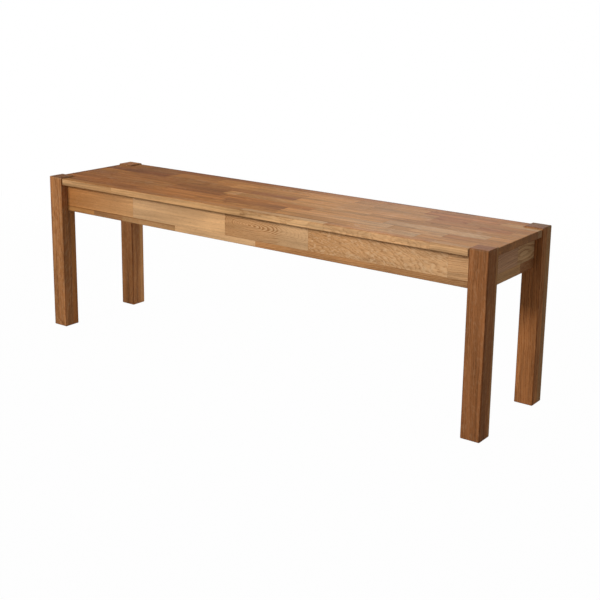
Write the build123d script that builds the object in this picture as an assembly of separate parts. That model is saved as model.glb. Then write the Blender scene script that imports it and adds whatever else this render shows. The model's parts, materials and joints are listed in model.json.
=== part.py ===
from build123d import *
import math
import os

# A plain oak bench: a notched seat board on a box of four aprons, with four square legs that are
# bolted into the corners of the box and whose tops stand just proud of the seat.
#
# Millimetres. X runs along the bench, Y across it and Z up. The origin is on the floor, under the
# middle of the seat. The front is the long side at -Y, and the right end is at +X.
# A corner piece is modelled at the front right corner and mirrored to the other three.

# The whole bench
bench_length = 1400.0
bench_depth = 328.0
bench_height = 445.0

# Legs
leg_side = 49.0
leg_edge_radius = 2.5
leg_end_radius = 2.0
leg_proud = 3.0
bolt_flat_setback = 12.0
bolt_flat_margin = 6.0

# Seat board, notched round the legs
seat_thickness = 18.0
seat_setback = 1.5
seat_notch_gap = 1.5
seat_corner_radius = 2.5
seat_edge_radius = 2.0

# Aprons
apron_height = 78.0
apron_thickness = 20.0
apron_edge_radius = 1.5
long_apron_setback = 22.0
end_apron_setback = 20.0

# Centre rail and its dowels
rail_width = 45.0
rail_thickness = 20.0
rail_edge_radius = 1.5
dowel_diameter = 8.0
dowel_length = 30.0
dowel_in_apron = 12.0
dowel_spacing = 24.0
dowel_chamfer = 0.8
dowel_clearance = 0.1
dowel_end_gap = 1.0

# Corner plates, pressed from steel sheet
plate_thickness = 2.0
plate_height = 52.0
plate_reach = 32.0
plate_flange = 34.0
plate_hook = 4.0
plate_bend_radius = 1.0
plate_screw_spacing = 32.0
kerf_clearance = 0.3

# Hanger bolts that hold each leg, with their washers and nuts
bolt_diameter = 8.0
bolt_in_leg = 32.0
bolt_point = 6.0
bolt_end_chamfer = 1.0
bolt_past_nut = 4.0
bolt_spacing = 28.0
bolt_wood_clearance = 0.1
bolt_plate_clearance = 0.5
washer_diameter = 20.0
washer_thickness = 1.6
washer_bore_clearance = 0.2
nut_flats = 13.0
nut_height = 6.5
nut_chamfer = 0.8
nut_bore_clearance = 0.1

# Pan-head wood screws
screw_diameter = 4.0
screw_length = 16.0
rail_screw_length = 30.0
screw_point = 4.0
screw_head_diameter = 8.0
screw_head_height = 2.6
screw_head_radius = 1.4
recess_length = 4.2
recess_width = 1.0
recess_depth = 1.5
screw_wood_clearance = 0.1
screw_plate_clearance = 0.3
pilot_past_point = 1.0
rail_screw_spacing = 150.0

# Seat clips, bent from thinner sheet
clip_thickness = 1.5
clip_width = 22.0
clip_leg = 20.0
clip_corner_radius = 3.0
clip_bend_radius = 0.8
clip_slot_length = 9.0
clip_hole_share = 0.6
clips_per_long_apron = 4

# One overrun for every cut that has to break through a face
overrun = 5.0

# Places that several pieces share
half_length = bench_length / 2
half_depth = bench_depth / 2
leg_inner_x = half_length - leg_side
leg_inner_y = half_depth - leg_side
seat_top_z = bench_height - leg_proud
seat_bottom_z = seat_top_z - seat_thickness
apron_bottom_z = seat_bottom_z - apron_height
long_apron_inner_y = half_depth - long_apron_setback - apron_thickness
end_apron_inner_x = half_length - end_apron_setback - apron_thickness
end_apron_outer_x = half_length - end_apron_setback
long_apron_outer_y = half_depth - long_apron_setback
apron_middle_z = apron_bottom_z + apron_height / 2

# The bolts lie on the leg's diagonal, level and square to the flat on its inner corner
diagonal = math.sqrt(2)
flat_depth = bolt_flat_setback / diagonal
leg_past_apron_corner = (end_apron_inner_x - leg_inner_x + long_apron_inner_y - leg_inner_y) / diagonal
plate_from_apron_corner = (plate_reach + plate_thickness / 2) / diagonal
plate_middle = plate_from_apron_corner - leg_past_apron_corner + flat_depth
washer_seat = plate_middle + plate_thickness / 2
nut_seat = washer_seat + washer_thickness
bolt_end = nut_seat + nut_height + bolt_past_nut
leg_corner = Plane(origin=(leg_inner_x, -leg_inner_y, apron_middle_z), x_dir=(0, 0, 1), z_dir=(-1, 1, 0))
leg_flat = leg_corner.offset(-flat_depth)

ON_TOP = (Align.CENTER, Align.CENTER, Align.MIN)
BELOW = (Align.CENTER, Align.CENTER, Align.MAX)


def mirrored_ends(shapes):
    """The shapes of the right end, and the same at the left end."""
    return shapes + [mirror(shape, about=Plane.YZ) for shape in shapes]


def mirrored_sides(shapes):
    """The shapes of the front side, and the same at the back."""
    return shapes + [mirror(shape, about=Plane.XZ) for shape in shapes]


def spread(count, pitch):
    """Places of a row of things about zero."""
    return [(i - (count - 1) / 2) * pitch for i in range(count)]


# Fasteners: each is made about its own axis, with its bearing face at zero and its point down

def wood_screw(length):
    """A pan-head wood screw with a cross recess."""
    head = Cylinder(screw_head_diameter / 2, screw_head_height, align=ON_TOP)
    head = fillet(head.faces().sort_by(Axis.Z)[-1].edges(), screw_head_radius)
    shank = Cylinder(screw_diameter / 2, length - screw_point, align=BELOW)
    point_top = Pos(0, 0, screw_point - length)
    point = point_top * Rot(180, 0, 0) * Cone(screw_diameter / 2, 0, screw_point, align=ON_TOP)
    slot = Box(recess_length, recess_width, recess_depth + overrun, align=ON_TOP)
    slots = Pos(0, 0, screw_head_height - recess_depth) * (slot + Rot(0, 0, 90) * slot)
    return head + shank + point - slots


def screw_pilot(length):
    """The hole that a wood screw leaves in the timber."""
    return Cylinder(screw_diameter / 2 + screw_wood_clearance, length + pilot_past_point, align=BELOW)


def sheet_hole(diameter, clearance):
    """A round hole through sheet steel."""
    return Cylinder(diameter / 2 + clearance, 2 * overrun)


def leg_bolt():
    """A hanger bolt, with its wood thread in the leg and its machine thread through the plate."""
    shaft = Cylinder(bolt_diameter / 2, bolt_end + bolt_in_leg - bolt_point, align=BELOW)
    shaft = chamfer(shaft.faces().sort_by(Axis.Z)[-1].edges(), bolt_end_chamfer)
    point = Rot(180, 0, 0) * Cone(bolt_diameter / 2, 0, bolt_point, align=ON_TOP)
    return Pos(0, 0, bolt_end) * shaft + Pos(0, 0, bolt_point - bolt_in_leg) * point


def leg_washer():
    """A plain round washer on the corner plate."""
    ring = Circle(washer_diameter / 2) - Circle(bolt_diameter / 2 + washer_bore_clearance)
    return Pos(0, 0, washer_seat) * extrude(ring, washer_thickness)


def leg_nut():
    """A hexagon nut with its corners turned off at both faces."""
    hexagon = RegularPolygon(nut_flats / 2, 6, major_radius=False)
    turned = Cylinder(nut_flats / math.sqrt(3), nut_height, align=ON_TOP)
    turned = chamfer(turned.edges().filter_by(GeomType.CIRCLE), nut_chamfer)
    bore = Cylinder(bolt_diameter / 2 + nut_bore_clearance, nut_height, align=ON_TOP)
    return Pos(0, 0, nut_seat) * ((extrude(hexagon, nut_height) & turned) - bore)


def bolt_places():
    """The two bolts of the front right leg, from the flat on its inner corner."""
    return [leg_flat * Pos(height, 0, 0) for height in spread(2, bolt_spacing)]


# Corner plate: a sheet folded across the corner, with a flange and a hook on each apron

def plate_screw_places():
    """The four screws of the front right plate, from the plate's faces inwards."""
    along = plate_reach + plate_flange / 2
    places = []
    for height in spread(2, plate_screw_spacing):
        z = apron_middle_z + height
        on_long = (end_apron_inner_x - along, plate_thickness - long_apron_inner_y, z)
        on_end = (end_apron_inner_x - plate_thickness, along - long_apron_inner_y, z)
        places.append(Plane(origin=on_long, x_dir=(1, 0, 0), z_dir=(0, 1, 0)).location)
        places.append(Plane(origin=on_end, x_dir=(0, 1, 0), z_dir=(-1, 0, 0)).location)
    return places


def plate_outline():
    """The folded sheet seen from above, about the inner corner of the aprons."""
    half = plate_thickness / 2
    far = plate_reach + plate_flange
    middle_line = FilletPolyline(
        (-far, -plate_hook),
        (-far, half),
        (-plate_reach, half),
        (-half, plate_reach),
        (-half, far),
        (plate_hook, far),
        radius=plate_bend_radius + half,
    )
    return trace(middle_line, line_width=plate_thickness)


def corner_bracket():
    """The corner plate of the front right corner."""
    corner = Pos(end_apron_inner_x, -long_apron_inner_y, apron_middle_z)
    plate = corner * extrude(plate_outline(), plate_height / 2, both=True)
    holes = [place * sheet_hole(screw_diameter, screw_plate_clearance) for place in plate_screw_places()]
    bolt_hole = Pos(0, 0, plate_middle) * sheet_hole(bolt_diameter, bolt_plate_clearance)
    holes += [place * bolt_hole for place in bolt_places()]
    return plate - holes


def kerf(depth_direction):
    """A saw cut for the plate's hook, in the face of an apron that the plate's flange lies on."""
    width = plate_thickness + plate_bend_radius + 2 * kerf_clearance
    centre = plate_reach + plate_flange - plate_bend_radius / 2
    depth = 2 * (plate_hook + kerf_clearance)
    cut = Box(width, depth, apron_height + 2 * overrun)
    corner = Pos(end_apron_inner_x, -long_apron_inner_y, apron_middle_z)
    if depth_direction == "long":
        return corner * Pos(-centre, 0, 0) * cut
    return corner * Pos(0, centre, 0) * Rot(0, 0, 90) * cut


def plate_pilots():
    """The holes of the front right plate's screws."""
    return [place * screw_pilot(screw_length) for place in plate_screw_places()]


# Seat clips: each is made about the line where the apron's inner face meets the seat

def seat_clip():
    """An angle clip: a round hole for the apron's screw and a slot for the seat's."""
    half = clip_thickness / 2
    bend = FilletPolyline(
        (half, -clip_leg),
        (half, -half),
        (clip_leg, -half),
        radius=clip_bend_radius + half,
    )
    clip = extrude(Plane.YZ * trace(bend, line_width=clip_thickness), clip_width / 2, both=True)
    tips = clip.edges().group_by(Axis.Z)[0].filter_by(Axis.Y)
    tips += clip.edges().group_by(Axis.Y)[-1].filter_by(Axis.Z)
    clip = fillet(tips, clip_corner_radius)
    round_hole = clip_apron_screw_place() * sheet_hole(screw_diameter, screw_plate_clearance)
    slot = SlotOverall(clip_slot_length, screw_diameter + 2 * screw_plate_clearance)
    slot_cut = clip_seat_screw_place() * Rot(0, 0, 90) * extrude(slot, overrun, both=True)
    return clip - round_hole - slot_cut


def clip_apron_screw_place():
    """Where the clip's screw into the apron bears."""
    origin = (0, clip_thickness, -clip_leg * clip_hole_share)
    return Plane(origin=origin, x_dir=(1, 0, 0), z_dir=(0, 1, 0)).location


def clip_seat_screw_place():
    """Where the clip's screw up into the seat bears."""
    origin = (0, clip_leg * clip_hole_share, -clip_thickness)
    return Plane(origin=origin, x_dir=(1, 0, 0), z_dir=(0, 0, -1)).location


def front_clip_places():
    """The clips along the front apron."""
    pitch = 2 * leg_inner_x / clips_per_long_apron
    return [Pos(x, -long_apron_inner_y, seat_bottom_z) for x in spread(clips_per_long_apron, pitch)]


def right_clip_places():
    """The one clip of the right apron."""
    return [Pos(end_apron_inner_x, 0, seat_bottom_z) * Rot(0, 0, 90)]


# Centre rail

def dowel_places():
    """The two dowels of the rail's front end, from the apron's inner face."""
    z = seat_bottom_z - rail_thickness / 2
    faces = [(x, -long_apron_inner_y, z) for x in spread(2, dowel_spacing)]
    return [Plane(origin=face, x_dir=(1, 0, 0), z_dir=(0, 1, 0)).location for face in faces]


def rail_dowel():
    """A beech dowel, part in the apron and part in the rail."""
    pin = Cylinder(dowel_diameter / 2, dowel_length, align=ON_TOP)
    return Pos(0, 0, -dowel_in_apron) * chamfer(pin.edges().filter_by(GeomType.CIRCLE), dowel_chamfer)


def dowel_hole():
    """The hole of a dowel, through the joint, with a little room at both of its ends."""
    hole = Cylinder(dowel_diameter / 2 + dowel_clearance, dowel_length + 2 * dowel_end_gap, align=ON_TOP)
    return Pos(0, 0, -dowel_in_apron - dowel_end_gap) * hole


def rail_screw_places():
    """The screws up through the rail, from its lower face."""
    z = seat_bottom_z - rail_thickness
    faces = [(0, y, z) for y in spread(2, rail_screw_spacing)]
    return [Plane(origin=face, x_dir=(1, 0, 0), z_dir=(0, 0, -1)).location for face in faces]


def centre_rail():
    """The flat rail between the long aprons, against the seat."""
    rail = Box(rail_width, 2 * long_apron_inner_y, rail_thickness, align=BELOW)
    lower_edges = rail.edges().filter_by(Axis.Y).group_by(Axis.Z)[0]
    rail = Pos(0, 0, seat_bottom_z) * fillet(lower_edges, rail_edge_radius)
    holes = mirrored_sides([place * dowel_hole() for place in dowel_places()])
    through = Cylinder(screw_diameter / 2 + screw_plate_clearance, 2 * (rail_thickness + overrun))
    holes += [place * through for place in rail_screw_places()]
    return rail - holes


# Timber

def seat_board():
    """The glued board of staves, notched at its corners, with the holes of the screws below."""
    notch_x = leg_inner_x - seat_notch_gap
    notch_y = leg_inner_y - seat_notch_gap
    plan = Rectangle(bench_length - 2 * seat_setback, bench_depth - 2 * seat_setback)
    notch = Pos(notch_x, notch_y) * Rectangle(leg_side, leg_side, align=(Align.MIN, Align.MIN))
    notches = [notch, mirror(notch, about=Plane.XZ)]
    plan -= notches + [mirror(cut, about=Plane.YZ) for cut in notches]
    inner = plan.vertices().filter_by(lambda v: abs(v.X) < leg_inner_x and abs(v.Y) < leg_inner_y)
    plan = fillet(inner, leg_edge_radius + seat_notch_gap)
    at_edge = half_depth - seat_setback
    at_end = half_length - seat_setback
    outer = [v for v in plan.vertices() if is_outer_corner(v, notch_x, notch_y, at_end, at_edge)]
    plan = fillet(outer, seat_corner_radius)
    board = extrude(plan, seat_thickness)
    rims = board.faces().sort_by(Axis.Z)[-1].edges() + board.faces().sort_by(Axis.Z)[0].edges()
    board = Pos(0, 0, seat_bottom_z) * fillet(rims, seat_edge_radius)
    pilot = clip_seat_screw_place() * screw_pilot(screw_length)
    pilots = mirrored_sides([place * pilot for place in front_clip_places()])
    pilots += mirrored_ends([place * pilot for place in right_clip_places()])
    pilots += [place * screw_pilot(rail_screw_length) for place in rail_screw_places()]
    return board - pilots


def is_outer_corner(vertex, notch_x, notch_y, at_end, at_edge):
    """Whether a corner of the seat's plan is one where a notch opens to an edge."""
    x, y = abs(vertex.X), abs(vertex.Y)
    beside_long_edge = math.isclose(x, notch_x) and math.isclose(y, at_edge)
    beside_short_edge = math.isclose(x, at_end) and math.isclose(y, notch_y)
    return beside_long_edge or beside_short_edge


def leg():
    """The front right leg, with the flat and the two bolt holes at its inner corner."""
    post = Box(leg_side, leg_side, bench_height, align=(Align.MAX, Align.MIN, Align.MIN))
    post = fillet(post.edges().filter_by(Axis.Z), leg_edge_radius)
    ends = post.faces().sort_by(Axis.Z)[-1].edges() + post.faces().sort_by(Axis.Z)[0].edges()
    post = Pos(half_length, -half_depth, 0) * fillet(ends, leg_end_radius)
    flat_height = apron_height - 2 * bolt_flat_margin
    flat = leg_flat * Box(flat_height, 2 * bolt_flat_setback, 2 * flat_depth, align=ON_TOP)
    hole = Cylinder(bolt_diameter / 2 + bolt_wood_clearance, bolt_in_leg + pilot_past_point, align=BELOW)
    return post - flat - [place * hole for place in bolt_places()]


def front_apron():
    """The long apron of the front, which butts between the legs."""
    rail = Box(2 * leg_inner_x, apron_thickness, apron_height, align=(Align.CENTER, Align.MIN, Align.MIN))
    lower_edges = rail.edges().filter_by(Axis.X).group_by(Axis.Z)[0]
    rail = Pos(0, -long_apron_outer_y, apron_bottom_z) * fillet(lower_edges, apron_edge_radius)
    pilot = clip_apron_screw_place() * screw_pilot(screw_length)
    cuts = [place * pilot for place in front_clip_places()]
    cuts += [place * dowel_hole() for place in dowel_places()]
    cuts += mirrored_ends([kerf("long")] + plate_pilots()[0::2])
    return rail - cuts


def right_apron():
    """The short apron of the right end, which butts between the legs."""
    rail = Box(apron_thickness, 2 * leg_inner_y, apron_height, align=(Align.MAX, Align.CENTER, Align.MIN))
    lower_edges = rail.edges().filter_by(Axis.Y).group_by(Axis.Z)[0]
    rail = Pos(end_apron_outer_x, 0, apron_bottom_z) * fillet(lower_edges, apron_edge_radius)
    pilot = clip_apron_screw_place() * screw_pilot(screw_length)
    cuts = [place * pilot for place in right_clip_places()]
    cuts += mirrored_sides([kerf("end")] + plate_pilots()[1::2])
    return rail - cuts


# Every piece in its own file

def write(name, shapes):
    """Write one node: a single solid, or a group of like solids."""
    solids = [solid for shape in shapes for solid in shape.solids()]
    export_step(solids[0] if len(solids) == 1 else Compound(solids), f"parts/{name}.step")


def write_corners(name, shapes):
    """Write a corner's node, and its mirror images at the other three corners."""
    write(name + "_front_right", shapes)
    write(name + "_front_left", [mirror(shape, about=Plane.YZ) for shape in shapes])
    write(name + "_back_right", [mirror(shape, about=Plane.XZ) for shape in shapes])
    at_back_left = [mirror(mirror(shape, about=Plane.YZ), about=Plane.XZ) for shape in shapes]
    write(name + "_back_left", at_back_left)


def write_sides(name, shapes):
    """Write a node of the front, and its mirror image at the back."""
    write(name + "_front", shapes)
    write(name + "_back", [mirror(shape, about=Plane.XZ) for shape in shapes])


def write_ends(name, shapes):
    """Write a node of the right end, and its mirror image at the left."""
    write(name + "_right", shapes)
    write(name + "_left", [mirror(shape, about=Plane.YZ) for shape in shapes])


os.makedirs("parts", exist_ok=True)

write("seat_board", [seat_board()])
write_corners("leg", [leg()])
write_sides("apron", [front_apron()])
write_ends("apron", [right_apron()])

write_corners("corner_bracket", [corner_bracket()])
write_corners("bracket_screws", [place * wood_screw(screw_length) for place in plate_screw_places()])
write_corners("leg_bolts", [place * leg_bolt() for place in bolt_places()])
write_corners("leg_washers", [place * leg_washer() for place in bolt_places()])
write_corners("leg_nuts", [place * leg_nut() for place in bolt_places()])

write("centre_rail", [centre_rail()])
write_sides("rail_dowels", [place * rail_dowel() for place in dowel_places()])
write("rail_screws", [place * wood_screw(rail_screw_length) for place in rail_screw_places()])

write_sides("seat_clips", [place * seat_clip() for place in front_clip_places()])
write_ends("seat_clip", [place * seat_clip() for place in right_clip_places()])
apron_screw = clip_apron_screw_place() * wood_screw(screw_length)
seat_screw = clip_seat_screw_place() * wood_screw(screw_length)
write_sides("clip_apron_screws", [place * apron_screw for place in front_clip_places()])
write_ends("clip_apron_screw", [place * apron_screw for place in right_clip_places()])
write_sides("clip_seat_screws", [place * seat_screw for place in front_clip_places()])
write_ends("clip_seat_screw", [place * seat_screw for place in right_clip_places()])
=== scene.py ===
"""The look of a plain oiled oak bench, laid out as an add-on and run as a script.

Every timber piece is built of its glued staves. Each stave carries its colour, its pith's place and
the pitch of its rings as attributes, and one solid grain pattern reads them, so that the figure runs
through the stave from face to face and ends in end grain.
"""
from collections import namedtuple
import json
import math
import random

import bmesh
import bpy
from bpy.props import FloatProperty, FloatVectorProperty, IntProperty, PointerProperty
from mathutils import Matrix, Vector


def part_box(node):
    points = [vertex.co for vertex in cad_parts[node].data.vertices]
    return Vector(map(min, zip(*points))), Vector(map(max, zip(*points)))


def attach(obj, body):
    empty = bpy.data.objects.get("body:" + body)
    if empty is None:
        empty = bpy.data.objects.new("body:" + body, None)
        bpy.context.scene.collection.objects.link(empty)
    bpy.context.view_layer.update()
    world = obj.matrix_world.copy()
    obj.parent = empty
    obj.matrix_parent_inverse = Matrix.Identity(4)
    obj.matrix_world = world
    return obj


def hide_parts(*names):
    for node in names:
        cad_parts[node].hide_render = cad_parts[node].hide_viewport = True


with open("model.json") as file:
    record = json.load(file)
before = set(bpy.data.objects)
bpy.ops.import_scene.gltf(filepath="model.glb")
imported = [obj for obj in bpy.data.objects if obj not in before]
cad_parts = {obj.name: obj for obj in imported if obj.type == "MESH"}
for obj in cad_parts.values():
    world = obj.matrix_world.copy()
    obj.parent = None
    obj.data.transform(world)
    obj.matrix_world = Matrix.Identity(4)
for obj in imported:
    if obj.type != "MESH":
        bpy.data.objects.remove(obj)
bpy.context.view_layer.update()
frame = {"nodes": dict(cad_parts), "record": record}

bl_info = {
    "name": "Oak Bench",
    "version": (1, 0, 0),
    "blender": (4, 5, 0),
    "location": "3D View > Sidebar > Bench",
    "description": "Builds the pieces, finishes and studio of a stave-glued oak bench round its frame",
    "category": "Object",
}

MM = 0.001
BODY = "root"
CORNERS = ("front_right", "front_left", "back_right", "back_left")
AXES = {"X": Vector((1, 0, 0)), "Y": Vector((0, 1, 0)), "Z": Vector((0, 0, 1))}
WHITE = (1.0, 1.0, 1.0, 1.0)
SMOOTH_ANGLE = math.radians(40)
CLOSE = 0.02 * MM


# Settings that a user may change

def number(label, text, value, **more):
    return FloatProperty(name=label, description=text, default=value, **more)


def length(label, text, millimetres):
    return number(label, text, millimetres * MM, min=0.0, subtype="DISTANCE", unit="LENGTH")


def angle(label, text, degrees):
    return number(label, text, math.radians(degrees), subtype="ANGLE", unit="ROTATION")


def share(label, text, value):
    return number(label, text, value, min=0.0, max=1.0, subtype="FACTOR")


def colour(label, text, value):
    return FloatVectorProperty(
        name=label, description=text, default=value, size=3, min=0.0, max=1.0, subtype="COLOR"
    )


class BenchSizes(bpy.types.PropertyGroup):
    """Sizes of the shaped details; the main sizes come from the frame."""

    seat_rim: length("Seat Rim", "Rounding of the seat's rims", 2.0)
    seat_corner: length("Seat Corner", "Rounding where a notch meets the edge", 2.5)
    notch_gap: length("Notch Gap", "Gap between the seat and a leg", 1.5)
    notch_corner: length("Notch Corner", "Rounding inside a notch", 4.0)
    leg_edge: length("Leg Edge", "Rounding of a leg's long edges", 2.5)
    leg_end: length("Leg End", "Rounding of a leg's end rims", 2.0)
    bolt_flat: length("Bolt Flat", "Setback of the flat on a leg's inner corner", 12.0)
    bolt_flat_margin: length("Flat Margin", "From the apron's edges to the flat's ends", 6.0)
    apron_edge: length("Apron Edge", "Rounding of an apron's lower edges", 1.5)
    rail_edge: length("Rail Edge", "Rounding of the rail's lower edges", 1.5)
    saw_cut_width: length("Saw Cut Width", "Width of the cut for a plate's hook", 3.6)
    saw_cut_depth: length("Saw Cut Depth", "Depth of the cut for a plate's hook", 4.3)
    saw_cut_place: length("Saw Cut Place", "From the aprons' inner corner to the cut", 65.5)
    machine_pitch: length("Machine Thread", "Pitch of the bolt's machine thread", 1.25)
    wood_pitch: length("Wood Thread", "Pitch of the bolt's wood thread", 3.2)
    rim_steps: IntProperty(
        name="Rim Steps", description="Faces across a rounded edge", default=4, min=1, max=8
    )


class OakColours(bpy.types.PropertyGroup):
    """The timber colours that the staves are sorted by."""

    cream: colour("Cream", "The palest, flecky quarter-sawn staves", (0.48, 0.265, 0.120))
    blond: colour("Blond", "The brightest staves of the front", (0.60, 0.350, 0.165))
    pale: colour("Pale", "Pale honey staves", (0.55, 0.33, 0.165))
    apricot: colour("Apricot", "Bright staves of the seat's right half", (0.54, 0.25, 0.078))
    fawn: colour("Fawn", "Soft brown staves", (0.42, 0.235, 0.102))
    wheat: colour("Wheat", "Dull pale staves of the end aprons", (0.50, 0.285, 0.160))
    honey: colour("Honey", "Honey staves, the commonest of the aprons", (0.51, 0.275, 0.118))
    amber: colour("Amber", "Warm, plain staves", (0.43, 0.200, 0.072))
    tan: colour("Tan", "Tan staves, the commonest of the seat", (0.41, 0.170, 0.049))
    orange: colour("Orange", "Orange brown staves", (0.46, 0.212, 0.066))
    russet: colour("Russet", "Reddish brown staves", (0.35, 0.136, 0.040))
    drab: colour("Drab", "Olive brown staves", (0.37, 0.185, 0.074))
    brown: colour("Brown", "Brown staves", (0.31, 0.126, 0.044))
    umber: colour("Umber", "The darkest staves", (0.24, 0.090, 0.032))
    leg: colour("Leg", "The legs' timber", (0.38, 0.158, 0.055))
    light_leg: colour("Light Leg", "The palest leg's timber", (0.47, 0.202, 0.073))
    dark_leg: colour("Dark Leg", "The darkest leg's timber", (0.295, 0.118, 0.042))
    ray: colour("Ray Fleck", "The shining flecks of the rays", (0.66, 0.44, 0.25))
    beech: colour("Beech", "The dowels' beech", (0.62, 0.42, 0.26))


class MetalColours(bpy.types.PropertyGroup):
    """Colours of the plated fittings."""

    sheet: colour("Zinc Sheet", "Plates and clips", (0.58, 0.60, 0.62))
    fastener: colour("Zinc Fastener", "Bolts, nuts, washers and screws", (0.66, 0.65, 0.60))


class StudioLight(bpy.types.PropertyGroup):
    """The lamps, the floor and the camera."""

    key_power: number("Key Power", "Large lamp in front", 20.0, min=0.0)
    back_power: number("Back Power", "Lamp behind the bench", 22.0, min=0.0)
    low_power: number("Low Power", "Small lamp low behind", 0.2, min=0.0)
    fill: share("Fill", "Strength of the even light from all round", 0.33)
    floor: colour("Floor", "The pale floor", (0.58, 0.575, 0.57))
    floor_glow: share("Floor Whiteness", "How far the floor near the bench is drawn white", 0.985)
    azimuth: angle("Azimuth", "Camera direction round the bench", 36.089)
    elevation: angle("Elevation", "Camera height as an angle", 13.028)
    roll: angle("Roll", "Camera tilt about its own axis", 0.765)
    distance: length("Distance", "From the target to the camera", 3547.3)
    target: FloatVectorProperty(
        name="Target", description="Point on the camera's axis", default=(-0.30745, 0.52568, 0.2225),
        subtype="XYZ", unit="LENGTH",
    )
    lens: number("Lens", "Focal length in millimetres", 66.245, min=1.0)
    shift: number("Shift", "Upright shift of the frame", -0.11843)


def settings(group):
    """The scene's settings of one kind."""
    return getattr(bpy.context.scene, "bench_" + group)


# How the staves are laid, in millimetres. A board is a list of rows from its low side to its high side,
# each with the line it starts at and its staves: where the stave ends, its colour and how it was sawn,
# which is rift where nothing is said. A colour given as one to another turns from the first at the
# stave's low end to the second. One given over another has the first on its top, the second elsewhere.

FAR = 10000.0

SEAT_ROWS = (
    (-FAR, ((-452, "orange to tan over blond to honey", "plain"),
            (6, "russet to amber over honey to fawn"), (262, "honey to blond", "fleck"),
            (552, "amber over pale", "fleck"), (FAR, "honey over pale"))),
    (-141.0, ((-398, "russet"), (-188, "russet to tan"), (94, "tan to orange", "flat"), (318, "apricot"),
              (498, "apricot to blond", "fleck"), (FAR, "orange to apricot"))),
    (-102.5, ((-520, "russet", "flat"), (-330, "russet to tan"), (-110, "tan"), (86, "russet", "flat"),
              (402, "apricot to blond"), (548, "orange to honey", "flat"), (FAR, "tan to orange"))),
    (-64.0, ((-576, "russet"), (-345, "russet to tan", "quarter"), (-146, "russet"),
             (148, "tan", "flat"), (366, "apricot"), (640, "honey to cream", "fleck"),
             (FAR, "apricot"))),
    (-25.5, ((-600, "brown"), (-342, "russet to tan"), (-166, "russet", "flat"),
             (-122, "orange to honey"), (292, "orange to apricot", "quarter"), (512, "orange", "flat"),
             (FAR, "orange", "quarter"))),
    (13.0, ((-548, "tan", "flat"), (-372, "russet"), (-110, "tan to russet", "flat"), (42, "brown"),
            (440, "apricot", "quarter"), (574, "tan"), (660, "russet"), (FAR, "orange"))),
    (51.5, ((-622, "umber"), (-448, "umber", "flat"), (-206, "tan", "quarter"),
            (44, "apricot to orange", "flat"), (250, "apricot"), (438, "orange", "quarter"),
            (528, "russet", "flat"), (FAR, "tan"))),
    (90.0, ((-602, "russet"), (-446, "brown"), (-284, "tan"), (-128, "orange", "flat"),
            (182, "apricot", "quarter"), (392, "orange"), (596, "russet to tan"),
            (FAR, "apricot to blond", "quarter"))),
    (128.5, ((-590, "tan"), (-470, "brown"), (-210, "umber to brown", "flat"), (-30, "russet"),
             (230, "tan"), (505, "tan", "flat"), (FAR, "tan"))),
)

APRON_ROWS = {
    "apron_front": (
        (-FAR, ((-543, "orange", "plain"), (-432, "drab"), (-234, "fawn"),
                (40, "blond to pale", "plain"), (FAR, "amber to drab"))),
        (362.0, ((-389, "tan to honey", "plain"), (-60, "pale to blond", "plain"),
                 (204, "honey to pale", "cathedral"), (590, "honey to pale", "swirl"), (FAR, "pale"))),
    ),
    "apron_back": (
        (-FAR, ((-360, "tan"), (95, "honey"), (430, "brown"), (FAR, "honey"))),
        (366.0, ((-472, "pale", "flat"), (-118, "honey", "fleck"), (256, "tan", "flat"), (FAR, "honey"))),
    ),
    "apron_right": (
        (-FAR, ((42, "fawn to honey"), (FAR, "brown"))),
        (371.0, ((26, "wheat"), (FAR, "blond", "knot"))),
    ),
    "apron_left": (
        (-FAR, ((-30, "brown"), (FAR, "honey"))),
        (368.0, ((-52, "honey", "flat"), (FAR, "pale"))),
    ),
}

LONG_APRONS = ("apron_front", "apron_back")

LEG_ROWS = {
    "front_right": ((-FAR, ((FAR, "dark_leg"),)), (-126.0, ((FAR, "drab", "quarter"),))),
    "front_left": ((-FAR, ((FAR, "light_leg", "quarter"),)), (-134.0, ((FAR, "russet to apricot"),))),
    "back_right": ((-FAR, ((FAR, "leg", "flat"),)), (139.5, ((FAR, "drab"),))),
    "back_left": ((-FAR, ((FAR, "leg"),)), (146.0, ((FAR, "amber"),))),
}

# How pale the end grain of each leg's top has stayed
LEG_END_TONE = {"front_right": 1.5, "front_left": 0.62, "back_right": 0.8, "back_left": 1.4}

RAIL_ROWS = ((-FAR, ((FAR, "honey", "flat"),)),)

# A dark band under a row's upper glue line: the row, where the band ends along the board, and its width
DARK_SEAMS = {"apron_front_staves": (0, -234, 2.2)}
NO_SEAM = (None, 0, 0)

# Shares of the edge darkening, part dark oil and part painted shade, that are left on the seat's front
# rim and on the rims of end grain
SEAT_FRONT_RIM = 0.45
END_RIM = 0.2

# A face is flat where its normal has a part above FLAT along an axis, and rounded elsewhere. The other
# parts tell whether it is seen as a board's top, at its front or at its ends.
FLAT = 0.995
UPWARDS = 0.7
FORWARDS = -0.1
ENDWARDS = 0.2
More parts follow.
